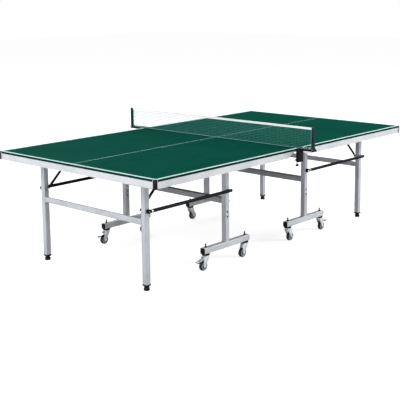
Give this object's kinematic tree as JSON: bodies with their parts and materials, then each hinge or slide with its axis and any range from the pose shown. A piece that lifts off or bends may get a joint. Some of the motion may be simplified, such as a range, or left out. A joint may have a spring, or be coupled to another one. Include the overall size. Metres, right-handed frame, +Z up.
{
  "type": "table tennis table",
  "caption": "Folding table tennis table: two rolling halves with silver tube frames, fold-up tops, coupled legs, braked casters and a clamp-on net.",
  "frame": {"origin": "floor, under the middle of the playing surface", "axes": "+X along the table's length, +Y across it, +Z up"},
  "size_m": [2.74, 1.8, 0.9155],
  "materials": {
    "playing_board": "satin green paint with white lines",
    "rail_paint": "satin light grey paint",
    "silver_tube": "satin silver powder coat",
    "dark_tube": "satin dark grey powder coat",
    "black_metal": "satin black paint",
    "black_plastic": "moulded black plastic",
    "zinc": "bright zinc plate",
    "caster_tyre": "grey rubber on a pale moulded hub",
    "net_fabric": "knotted mesh with white tape"
  },
  "bodies": {
    "left_carriage": {"left_carriage_posts": "silver_tube", "left_inner_bar": "dark_tube", "left_base_beams": "silver_tube", "left_beam_caps": "black_plastic", "left_frame_bolts": "zinc"},
    "left_top": {"left_top_panel": "playing_board", "left_apron_rails": "rail_paint", "left_corner_caps": "black_plastic", "left_inner_brackets": "rail_paint", "left_under_frame": "dark_tube"},
    "left_leg_frame": {"left_legs": "silver_tube", "left_outer_bar": "silver_tube", "left_leg_pins": "zinc"},
    "left_links": {"left_link_rods": "black_metal"},
    "left_stay_pair": {"left_stays": "black_metal"},
    "left_near_foot_screw": {"left_near_foot": "black_plastic"},
    "left_near_outer_swivel": {"left_near_outer_fork": "zinc"},
    "left_near_outer_roller": {"left_near_outer_wheel": "caster_tyre"},
    "left_near_outer_brake": {"left_near_outer_pedal": "zinc"},
    "left_near_inner_swivel": {"left_near_inner_fork": "zinc"},
    "left_near_inner_roller": {"left_near_inner_wheel": "caster_tyre"},
    "left_far_foot_screw": {"left_far_foot": "black_plastic"},
    "left_far_outer_swivel": {"left_far_outer_fork": "zinc"},
    "left_far_outer_roller": {"left_far_outer_wheel": "caster_tyre"},
    "left_far_outer_brake": {"left_far_outer_pedal": "zinc"},
    "left_far_inner_swivel": {"left_far_inner_fork": "zinc"},
    "left_far_inner_roller": {"left_far_inner_wheel": "caster_tyre"},
    "right_carriage": {"right_carriage_posts": "silver_tube", "right_inner_bar": "dark_tube", "right_base_beams": "silver_tube", "right_beam_caps": "black_plastic", "right_frame_bolts": "zinc"},
    "right_top": {"right_top_panel": "playing_board", "right_apron_rails": "rail_paint", "right_corner_caps": "black_plastic", "right_inner_brackets": "rail_paint", "right_under_frame": "dark_tube", "net": "net_fabric", "net_posts": "black_metal", "net_clamps": "black_metal"},
    "right_leg_frame": {"right_legs": "silver_tube", "right_outer_bar": "silver_tube", "right_leg_pins": "zinc"},
    "right_links": {"right_link_rods": "black_metal"},
    "right_stay_pair": {"right_stays": "black_metal"},
    "right_near_foot_screw": {"right_near_foot": "black_plastic"},
    "right_near_outer_swivel": {"right_near_outer_fork": "zinc"},
    "right_near_outer_roller": {"right_near_outer_wheel": "caster_tyre"},
    "right_near_outer_brake": {"right_near_outer_pedal": "zinc"},
    "right_near_inner_swivel": {"right_near_inner_fork": "zinc"},
    "right_near_inner_roller": {"right_near_inner_wheel": "caster_tyre"},
    "right_far_foot_screw": {"right_far_foot": "black_plastic"},
    "right_far_outer_swivel": {"right_far_outer_fork": "zinc"},
    "right_far_outer_roller": {"right_far_outer_wheel": "caster_tyre"},
    "right_far_outer_brake": {"right_far_outer_pedal": "zinc"},
    "right_far_inner_swivel": {"right_far_inner_fork": "zinc"},
    "right_far_inner_roller": {"right_far_inner_wheel": "caster_tyre"},
    "near_screw": {"near_clamp_screw": "zinc"},
    "far_screw": {"far_clamp_screw": "zinc"}
  },
  "joints": [
    {"name": "left_top_fold", "type": "hinge", "parent": "left_carriage", "child": "left_top", "pos_m": [-0.452, 0, 0.7], "axis": [0, 1, 0], "range_deg": [0, 90]},
    {"name": "left_leg_fold", "type": "hinge", "parent": "left_top", "child": "left_leg_frame", "pos_m": [-1.2, 0, 0.7], "axis": [0, 1, 0], "range_deg": [-90.1, 0.1]},
    {"name": "left_link_swing", "type": "hinge", "parent": "left_carriage", "child": "left_links", "pos_m": [-0.452, 0, 0.505], "axis": [0, 1, 0], "range_deg": [-0.1, 90.1]},
    {"name": "left_stay_swing", "type": "hinge", "parent": "left_leg_frame", "child": "left_stay_pair", "pos_m": [-1.2, 0, 0.505], "axis": [0, 1, 0], "range_deg": [-0.1, 130.33]},
    {"name": "left_near_foot_level", "type": "slide", "parent": "left_leg_frame", "child": "left_near_foot_screw", "axis": [0, 0, -1], "range_m": [0, 0.015]},
    {"name": "left_near_outer_swivel_turn", "type": "hinge", "parent": "left_carriage", "child": "left_near_outer_swivel", "pos_m": [-0.654, -0.493, 0.1], "axis": [0, 0, 1], "continuous": true},
    {"name": "left_near_outer_wheel_spin", "type": "hinge", "parent": "left_near_outer_swivel", "child": "left_near_outer_roller", "pos_m": [-0.68, -0.493, 0.032], "axis": [0, 1, 0], "continuous": true},
    {"name": "left_near_outer_pedal_press", "type": "hinge", "parent": "left_near_outer_swivel", "child": "left_near_outer_brake", "pos_m": [-0.674, -0.493, 0.078], "axis": [0, -1, 0], "range_deg": [0, 10]},
    {"name": "left_near_inner_swivel_turn", "type": "hinge", "parent": "left_carriage", "child": "left_near_inner_swivel", "pos_m": [-0.25, -0.493, 0.1], "axis": [0, 0, 1], "continuous": true},
    {"name": "left_near_inner_wheel_spin", "type": "hinge", "parent": "left_near_inner_swivel", "child": "left_near_inner_roller", "pos_m": [-0.276, -0.493, 0.032], "axis": [0, 1, 0], "continuous": true},
    {"name": "left_far_foot_level", "type": "slide", "parent": "left_leg_frame", "child": "left_far_foot_screw", "axis": [0, 0, -1], "range_m": [0, 0.015]},
    {"name": "left_far_outer_swivel_turn", "type": "hinge", "parent": "left_carriage", "child": "left_far_outer_swivel", "pos_m": [-0.654, 0.493, 0.1], "axis": [0, 0, 1], "continuous": true},
    {"name": "left_far_outer_wheel_spin", "type": "hinge", "parent": "left_far_outer_swivel", "child": "left_far_outer_roller", "pos_m": [-0.68, 0.493, 0.032], "axis": [0, 1, 0], "continuous": true},
    {"name": "left_far_outer_pedal_press", "type": "hinge", "parent": "left_far_outer_swivel", "child": "left_far_outer_brake", "pos_m": [-0.674, 0.493, 0.078], "axis": [0, -1, 0], "range_deg": [0, 10]},
    {"name": "left_far_inner_swivel_turn", "type": "hinge", "parent": "left_carriage", "child": "left_far_inner_swivel", "pos_m": [-0.25, 0.493, 0.1], "axis": [0, 0, 1], "continuous": true},
    {"name": "left_far_inner_wheel_spin", "type": "hinge", "parent": "left_far_inner_swivel", "child": "left_far_inner_roller", "pos_m": [-0.276, 0.493, 0.032], "axis": [0, 1, 0], "continuous": true},
    {"name": "right_half_roll", "type": "slide", "parent": "left_carriage", "child": "right_carriage", "axis": [1, 0, 0], "range_m": [0, 0.2505]},
    {"name": "right_top_fold", "type": "hinge", "parent": "right_carriage", "child": "right_top", "pos_m": [0.452, 0, 0.7], "axis": [0, -1, 0], "range_deg": [0, 90]},
    {"name": "right_leg_fold", "type": "hinge", "parent": "right_top", "child": "right_leg_frame", "pos_m": [1.2, 0, 0.7], "axis": [0, -1, 0], "range_deg": [-90.1, 0.1]},
    {"name": "right_link_swing", "type": "hinge", "parent": "right_carriage", "child": "right_links", "pos_m": [0.452, 0, 0.505], "axis": [0, -1, 0], "range_deg": [-0.1, 90.1]},
    {"name": "right_stay_swing", "type": "hinge", "parent": "right_leg_frame", "child": "right_stay_pair", "pos_m": [1.2, 0, 0.505], "axis": [0, -1, 0], "range_deg": [-0.1, 130.33]},
    {"name": "right_near_foot_level", "type": "slide", "parent": "right_leg_frame", "child": "right_near_foot_screw", "axis": [0, 0, -1], "range_m": [0, 0.015]},
    {"name": "right_near_outer_swivel_turn", "type": "hinge", "parent": "right_carriage", "child": "right_near_outer_swivel", "pos_m": [0.654, -0.493, 0.1], "axis": [0, 0, 1], "continuous": true},
    {"name": "right_near_outer_wheel_spin", "type": "hinge", "parent": "right_near_outer_swivel", "child": "right_near_outer_roller", "pos_m": [0.68, -0.493, 0.032], "axis": [0, 1, 0], "continuous": true},
    {"name": "right_near_outer_pedal_press", "type": "hinge", "parent": "right_near_outer_swivel", "child": "right_near_outer_brake", "pos_m": [0.674, -0.493, 0.078], "axis": [0, 1, 0], "range_deg": [0, 10]},
    {"name": "right_near_inner_swivel_turn", "type": "hinge", "parent": "right_carriage", "child": "right_near_inner_swivel", "pos_m": [0.25, -0.493, 0.1], "axis": [0, 0, 1], "continuous": true},
    {"name": "right_near_inner_wheel_spin", "type": "hinge", "parent": "right_near_inner_swivel", "child": "right_near_inner_roller", "pos_m": [0.276, -0.493, 0.032], "axis": [0, 1, 0], "continuous": true},
    {"name": "right_far_foot_level", "type": "slide", "parent": "right_leg_frame", "child": "right_far_foot_screw", "axis": [0, 0, -1], "range_m": [0, 0.015]},
    {"name": "right_far_outer_swivel_turn", "type": "hinge", "parent": "right_carriage", "child": "right_far_outer_swivel", "pos_m": [0.654, 0.493, 0.1], "axis": [0, 0, 1], "continuous": true},
    {"name": "right_far_outer_wheel_spin", "type": "hinge", "parent": "right_far_outer_swivel", "child": "right_far_outer_roller", "pos_m": [0.68, 0.493, 0.032], "axis": [0, 1, 0], "continuous": true},
    {"name": "right_far_outer_pedal_press", "type": "hinge", "parent": "right_far_outer_swivel", "child": "right_far_outer_brake", "pos_m": [0.674, 0.493, 0.078], "axis": [0, 1, 0], "range_deg": [0, 10]},
    {"name": "right_far_inner_swivel_turn", "type": "hinge", "parent": "right_carriage", "child": "right_far_inner_swivel", "pos_m": [0.25, 0.493, 0.1], "axis": [0, 0, 1], "continuous": true},
    {"name": "right_far_inner_wheel_spin", "type": "hinge", "parent": "right_far_inner_swivel", "child": "right_far_inner_roller", "pos_m": [0.276, 0.493, 0.032], "axis": [0, 1, 0], "continuous": true},
    {"name": "near_clamp_turn", "type": "slide", "parent": "right_top", "child": "near_screw", "axis": [0, 0, -1], "range_m": [0, 0.02]},
    {"name": "far_clamp_turn", "type": "slide", "parent": "right_top", "child": "far_screw", "axis": [0, 0, -1], "range_m": [0, 0.02]}
  ],
  "couplings": [
    {"joint": "left_leg_fold", "follows": "left_top_fold", "ratio": -1},
    {"joint": "left_link_swing", "follows": "left_top_fold", "ratio": 1},
    {"joint": "left_stay_swing", "follows": "left_top_fold", "ratio": 1.4459},
    {"joint": "right_half_roll", "follows": "right_top_fold", "m_per_rad": 0.15915},
    {"joint": "right_leg_fold", "follows": "right_top_fold", "ratio": -1},
    {"joint": "right_link_swing", "follows": "right_top_fold", "ratio": 1},
    {"joint": "right_stay_swing", "follows": "right_top_fold", "ratio": 1.4459}
  ]
}
